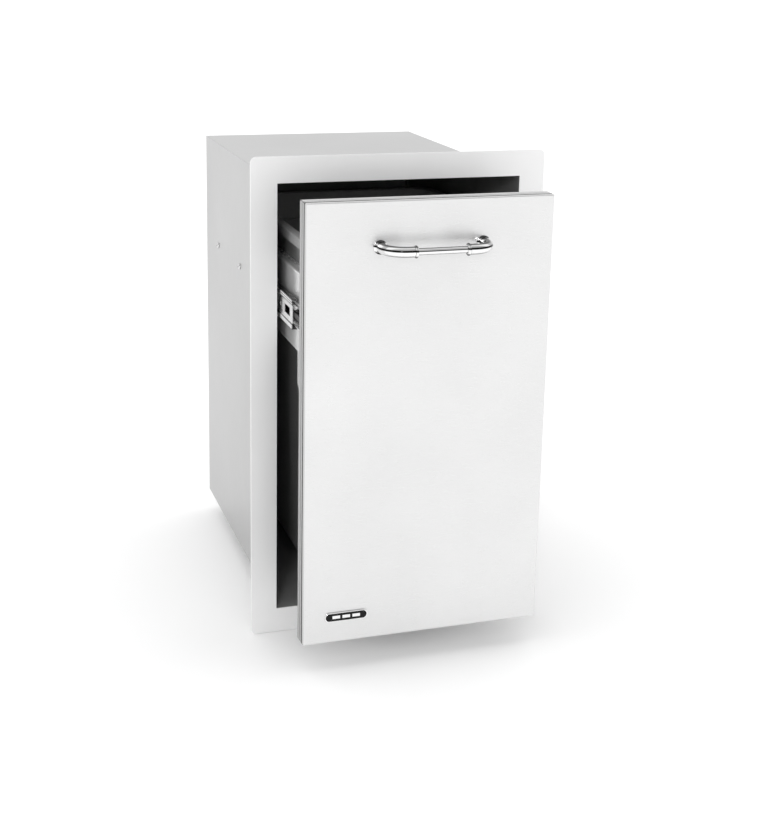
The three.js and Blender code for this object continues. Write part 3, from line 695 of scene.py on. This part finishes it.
end_low, end_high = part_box("handle_end_left")
foot_low, foot_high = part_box("handle_rosette_left")
rod_low, rod_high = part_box("handle_rod")
tube = (end_high[2] - end_low[2]) / 2
foot_x, foot_z = (foot_low[0] + foot_high[0]) / 2, (foot_low[2] + foot_high[2]) / 2
bar_y = (rod_low[1] + rod_high[1]) / 2
bend_radius = 0.026
rod_radius = (rod_high[2] - rod_low[2]) / 2
bar_chrome = chrome_painted_reflection("bar chrome", foot_z, tube, 0.57, 0.70)
rod_chrome = chrome_painted_reflection("rod chrome", foot_z, rod_radius, 0.56, 0.64)
for side, way in (("left", 1), ("right", -1)):
    low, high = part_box(f"handle_end_{side}")
    x = foot_x * way
    bpy.ops.object.select_all(action="DESELECT")
    bpy.ops.mesh.primitive_circle_add(
        vertices=32, radius=tube, fill_type="NGON",
        location=(x, high[1], foot_z), rotation=(math.pi / 2, 0, 0),
    )
    bar = bpy.context.object
    bpy.ops.object.transform_apply(location=True, rotation=True, scale=True)
    bpy.ops.object.mode_set(mode="EDIT")
    bpy.ops.mesh.select_all(action="SELECT")
    straight = (0, bar_y + bend_radius - high[1], 0)
    bpy.ops.mesh.extrude_region_move(TRANSFORM_OT_translate={"value": straight})
    centre = (x + way * bend_radius, bar_y + bend_radius, foot_z)
    bpy.ops.mesh.spin(steps=22, angle=-way * math.pi / 2, center=centre, axis=(0, 0, 1))
    inner_end = high[0] if way > 0 else low[0]
    reach = inner_end - (x + way * bend_radius)
    bpy.ops.mesh.extrude_region_move(TRANSFORM_OT_translate={"value": (reach, 0, 0)})
    bpy.ops.mesh.select_all(action="SELECT")
    bpy.ops.mesh.remove_doubles(threshold=0.000005)
    bpy.ops.mesh.normals_make_consistent(inside=False)
    bpy.ops.object.mode_set(mode="OBJECT")
    bar.name = f"handle_bent_end_{side}"
    break_edges(bar, 0.0005, 3, 50)
    fit(bar, "drawer", bar_chrome, "polished_chrome", f"handle_end_{side}")

    rosette_low, rosette_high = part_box(f"handle_rosette_{side}")
    radius = (rosette_high[2] - rosette_low[2]) / 2
    thick = rosette_high[1] - rosette_low[1]
    dish = [(0, 0), (0, radius), *arc((thick * 0.35, radius - 0.0006), 0.0006, 90, 0, 4)]
    dish += [(thick, tube + 0.0006), (thick, 0)]
    rosette = turned(f"handle_rosette_plate_{side}", dish, (x, rosette_high[1], foot_z), (0, -1, 0))
    fit(rosette, "drawer", bar_chrome, "polished_chrome", f"handle_rosette_{side}")

    collar_low, collar_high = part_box(f"handle_collar_{side}")
    radius = (collar_high[2] - collar_low[2]) / 2
    wide = collar_high[0] - collar_low[0]
    bead = [(0, rod_radius + 0.0002), (0, radius - 0.0012)]
    bead += arc((wide / 2, radius - wide / 2), wide / 2, 150, 30, 8)
    bead += [(wide, radius - 0.0012), (wide, rod_radius + 0.0002), (0, rod_radius + 0.0002)]
    collar = turned(f"handle_beaded_collar_{side}", bead, (collar_low[0], bar_y, foot_z), (1, 0, 0))
    fit(collar, "drawer", bar_chrome, "polished_chrome", f"handle_collar_{side}")
length = rod_high[0] - rod_low[0]
line = [(0, 0), (0, rod_radius), (length, rod_radius), (length, 0)]
rod = turned("handle_middle_rod", line, (rod_low[0], bar_y, foot_z), (1, 0, 0))
fit(rod, "drawer", rod_chrome, "polished_chrome", "handle_rod")


# Badge: a cast oval plate with a raised bright rim, a black enamelled field and three plain
# bars. It carries no mark.
def oval(name, length, height, back_y, thickness, centre, steps):
    """An upright oval plate, then rings drawn in from its front as (inwards, forwards) pairs."""
    bpy.ops.object.select_all(action="DESELECT")
    bpy.ops.mesh.primitive_circle_add(
        vertices=64, radius=height / 2, fill_type="NGON",
        location=(centre[0], back_y, centre[1]), rotation=(math.pi / 2, 0, 0),
    )
    plate = bpy.context.object
    plate.name = name
    bpy.ops.object.transform_apply(location=True, rotation=True, scale=True)
    for vertex in plate.data.vertices:
        off = vertex.co.x - centre[0]
        if abs(off) > 0.000001:
            vertex.co.x += math.copysign((length - height) / 2, off)
    bpy.ops.object.mode_set(mode="EDIT")
    bpy.ops.mesh.select_all(action="SELECT")
    bpy.ops.mesh.extrude_region_move(TRANSFORM_OT_translate={"value": (0, -thickness, 0)})
    for inwards, forwards in steps:
        bpy.ops.mesh.inset(thickness=inwards, depth=0)
        bpy.ops.transform.translate(value=(0, -forwards, 0))
    bpy.ops.mesh.select_all(action="SELECT")
    bpy.ops.mesh.normals_make_consistent(inside=False)
    bpy.ops.object.mode_set(mode="OBJECT")
    only(plate)
    bpy.ops.object.shade_smooth_by_angle(angle=math.radians(50))
    return plate


chrome = chrome_plate("polished chrome")
badge_low, badge_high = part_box("badge_plate")
badge_at = ((badge_low[0] + badge_high[0]) / 2, (badge_low[2] + badge_high[2]) / 2)
badge_long, badge_tall = badge_high[0] - badge_low[0], badge_high[2] - badge_low[2]
badge_thick = badge_high[1] - badge_low[1]
rounded = [(0.0001, 0.0003), (0.0003, 0.0002), (0.0006, 0), (0.0003, -0.0002), (0.0001, -0.0007)]
rim = oval(
    "badge_rim", badge_long, badge_tall, badge_high[1], badge_thick - 0.0005, badge_at, rounded
)
fit(rim, "drawer", chrome, "black_plastic", "badge_plate")
enamel = moulded("black enamel", grey(0.003), grey(0.007), (0.3, 0.4), 700, 0.0001)
enamel.node_tree.nodes["Principled BSDF"].inputs["Specular IOR Level"].default_value = 0.2
rim_loss = 2 * sum(step[0] for step in rounded) + 0.0001
field_long, field_tall = badge_long - rim_loss, badge_tall - rim_loss
domed = [(0.0002, 0.0001), (0.0008, 0.0001)]
field = oval(
    "badge_field", field_long, field_tall, badge_low[1] + 0.0009, 0.0002, badge_at, domed
)
fit(field, "drawer", enamel, "black_plastic")
bar_offset, half = 0.0135, (0.0052, 0.0021)
for n, offset in enumerate((-bar_offset, 0.0, bar_offset)):
    bar = block(
        f"badge_bar_{n + 1}",
        (badge_at[0] + offset - half[0], badge_low[1] + 0.0001, badge_at[1] - half[1]),
        (badge_at[0] + offset + half[0], badge_low[1] + 0.0006, badge_at[1] + half[1]),
    )
    break_edges(bar, 0.00012, 2, 50)
    fit(bar, "drawer", chrome, "black_plastic")


# Screws: zinc pan heads with a cross recess. One is turned and cut, then copied to every seat.
shank_length, head_height = 0.012, 0.0022


def cross_screw(name):
    head = [(shank_length, 0), (shank_length, 0.0024), (0, 0.0025), (0, 0.0044), (-0.0009, 0.0043)]
    head += [(-0.0016, 0.0036), (-0.0020, 0.0024), (-head_height, 0.0010), (-head_height, 0)]
    screw = turned(name, head, (0, 0, 0), (0, 0, 1), 28)
    for wide, long in ((0.0005, 0.0020), (0.0020, 0.0005)):
        cut(screw, block("driver", (-wide, -long, -0.004), (wide, long, -0.0010)))
    only(screw)
    bpy.ops.object.shade_smooth_by_angle(angle=math.radians(40))
    return screw


screw_pattern = cross_screw("screw_pattern")
screws = {"cabinet_screw": ("cabinet", 3), "rail_screw": ("drawer", 2), "bracket_bolt": ("drawer", 2)}
seats = [
    (f"{kind}_{side}_{n + 1}", body)
    for kind, (body, count) in screws.items()
    for side in ("left", "right")
    for n in range(count)
] + [("handle_screw_left", "drawer"), ("handle_screw_right", "drawer")]
for node, body in seats:
    low, high = (Vector(corner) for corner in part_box(node))
    middle, size = (low + high) / 2, high - low
    if node.startswith(("cabinet_screw", "rail_screw")):
        out = Vector((math.copysign(1, middle.x), 0, 0))
    else:
        out = Vector((0, 1, 0))
    length = abs(size.dot(out))
    seat = middle + out * (length / 2 - head_height)
    only(screw_pattern)
    bpy.ops.object.duplicate()
    screw = bpy.context.object
    screw.name = node.replace("screw", "cross_screw").replace("bolt", "cross_bolt")
    shorten = Matrix.Diagonal((1, 1, (length - head_height) / shank_length, 1))
    for vertex in screw.data.vertices:
        if vertex.co.z > 0.001:
            vertex.co = shorten @ vertex.co
    facing = (-out).to_track_quat("Z", "Y").to_matrix().to_4x4()
    screw.matrix_world = Matrix.Translation(seat) @ facing
    bpy.ops.object.transform_apply(location=True, rotation=True, scale=True)
    fit(screw, body, zinc, "zinc_steel", node)
only(screw_pattern)
bpy.ops.object.delete()


# Bin: a grey injection-moulded tub. Its shoulder hangs on the carrier's lips, the neck above it
# carries a turned-down rim, and the wall below tapers to a rounded foot.
def pick_edges(piece, test):
    """Picks the edges whose two ends pass a test, and leaves the piece in edit mode."""
    bpy.ops.object.mode_set(mode="EDIT")
    bpy.ops.mesh.select_mode(type="EDGE")
    bpy.ops.mesh.select_all(action="DESELECT")
    bpy.ops.object.mode_set(mode="OBJECT")
    for edge in piece.data.edges:
        edge.select = test(*(piece.data.vertices[end].co for end in edge.vertices))
    bpy.ops.object.mode_set(mode="EDIT")


bin_low, bin_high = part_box("bin")
hang_gap = 0.0003
seat_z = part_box("carrier_side_left")[1][2] + hang_gap
middle = [(a + b) / 2 for a, b in zip(bin_low, bin_high)]
rim_width, rim_height, bin_wall, seat_ledge = 0.0132, 0.013, 0.0024, 0.0035
taper, corner_radius, foot_radius, steep = 0.022, 0.026, 0.006, 0.1
base_z = bin_low[2] + 0.001
neck_x, neck_y = bin_high[0] - rim_width, bin_high[1] - rim_width - middle[1]
seat_x, seat_y = neck_x - seat_ledge, neck_y - seat_ledge
tub = block(
    "waste_bin",
    (-seat_x, middle[1] - seat_y, bin_low[2]),
    (seat_x, middle[1] + seat_y, seat_z),
)
pick_faces(tub, lambda face: face.normal.z > 0.5)
bpy.ops.mesh.delete(type="ONLY_FACE")
bpy.ops.object.mode_set(mode="OBJECT")
for vertex in tub.data.vertices:
    if vertex.co.z < seat_z - steep:
        vertex.co.x -= math.copysign(taper, vertex.co.x)
        vertex.co.y -= math.copysign(taper, vertex.co.y - middle[1])
# The upright corners and the base get the wide radius, and the base's new edges the small one.
pick_edges(tub, lambda a, b: abs(a.z - b.z) > steep or max(a.z, b.z) < base_z)
bpy.ops.mesh.bevel(offset=corner_radius, segments=8, affect="EDGES")
pick_edges(tub, lambda a, b: max(a.z, b.z) < base_z)
bpy.ops.mesh.bevel(offset=foot_radius, segments=4, affect="EDGES")
pick_edges(tub, lambda a, b: min(a.z, b.z) > seat_z - 0.001)
rim_x, rim_y = bin_high[0], bin_high[1] - middle[1]
# Each turn is a ring, given as its half width, half depth and height.
turn = 0.0016
rim_top = bin_high[2] - 0.0002
turns = [
    (neck_x - turn, neck_y - turn, seat_z),
    (neck_x, neck_y, seat_z + turn),
    (neck_x, neck_y, rim_top - turn),
    (neck_x + turn, neck_y + turn, rim_top),
    (rim_x - turn, rim_y - turn, rim_top),
    (rim_x - turn / 3, rim_y - turn / 3, rim_top - turn / 3),
    (rim_x, rim_y, rim_top - turn),
    (rim_x, rim_y, bin_high[2] - rim_height),
]
size_x, size_y, height = seat_x, seat_y, seat_z
for next_x, next_y, next_z in turns:
    rise = (0, 0, next_z - height)
    bpy.ops.mesh.extrude_region_move(TRANSFORM_OT_translate={"value": rise})
    bpy.ops.transform.resize(
        value=(next_x / size_x, next_y / size_y, 1), center_override=(0, middle[1], next_z)
    )
    size_x, size_y, height = next_x, next_y, next_z
bpy.ops.mesh.select_all(action="SELECT")
bpy.ops.mesh.normals_make_consistent(inside=False)
bpy.ops.object.mode_set(mode="OBJECT")
work(tub, "SOLIDIFY", thickness=bin_wall, offset=-1, use_even_offset=False)
smooth(tub, 38)
bin_plastic = moulded("grey bin plastic", grey(0.24), grey(0.27), (0.3, 0.45), 350)
fit(tub, "bin", bin_plastic, "bin_plastic", "bin")


# Studio: a wide pale floor under the object, a bright sky that is dimmer high in front for the
# chrome to mirror, and one soft key light from the front left.
bpy.ops.object.select_all(action="DESELECT")
bpy.ops.mesh.primitive_plane_add(size=60, location=(0, 0, cad_low[2] - 0.0005))
floor = bpy.context.object
floor.name = "studio_floor"
floor_paint, tree, shader = new_material("pale floor")
paper = tones(tree, object_noise(tree, 3), grey(0.95), grey(0.97))
tree.links.new(paper, shader.inputs["Base Color"])
shader.inputs["Roughness"].default_value = 0.9
shader.inputs["Specular IOR Level"].default_value = 0.0
floor.data.materials.append(floor_paint)

world = bpy.data.worlds.new("studio sky")
bpy.context.scene.world = world
world.use_nodes = True
sky = world.node_tree
direction = sky.nodes.new("ShaderNodeTexCoord")
split = sky.nodes.new("ShaderNodeSeparateXYZ")
sky.links.new(direction.outputs["Generated"], split.inputs["Vector"])
ramp = sky.nodes.new("ShaderNodeValToRGB")
set_stops(ramp, [(0.0, 0.88), (0.20, 0.88), (0.30, 0.45), (0.93, 0.45), (1.0, 0.6)])
sky.links.new(split.outputs["Z"], ramp.inputs["Fac"])
in_front = sky.nodes.new("ShaderNodeMapRange")
in_front.inputs["From Min"].default_value = -0.25
in_front.inputs["From Max"].default_value = -0.05
in_front.inputs["To Min"].default_value = 0
in_front.inputs["To Max"].default_value = 1
sky.links.new(split.outputs["Y"], in_front.inputs["Value"])
open_sky = sky.nodes.new("ShaderNodeMix")
open_sky.data_type = "RGBA"
open_sky.inputs["B"].default_value = (1, 1, 1, 1)
sky.links.new(in_front.outputs["Result"], open_sky.inputs["Factor"])
sky.links.new(ramp.outputs["Color"], open_sky.inputs["A"])
background = sky.nodes["Background"]
sky.links.new(open_sky.outputs["Result"], background.inputs["Color"])
background.inputs["Strength"].default_value = 1.03

bpy.ops.object.light_add(type="SUN", location=(-1, -2, 1.5))
key = bpy.context.object
key.data.energy = 0.6
key.data.angle = math.radians(8)
leftward, upward = math.radians(24), math.radians(20)
toward_key = Vector((-math.sin(leftward), -math.cos(leftward), 0))
toward_key = toward_key * math.cos(upward) + Vector((0, 0, math.sin(upward)))
key.rotation_euler = toward_key.to_track_quat("Z", "Y").to_euler()

# A broad overhead light for the floor, which the polished metal doesn't mirror.
bpy.ops.object.light_add(type="SUN", location=(0, 0, 3))
overhead = bpy.context.object
overhead.data.energy = 1.35
overhead.data.angle = math.radians(130)
overhead.visible_glossy = False
overhead.rotation_euler = (math.radians(30), 0, math.radians(-15))
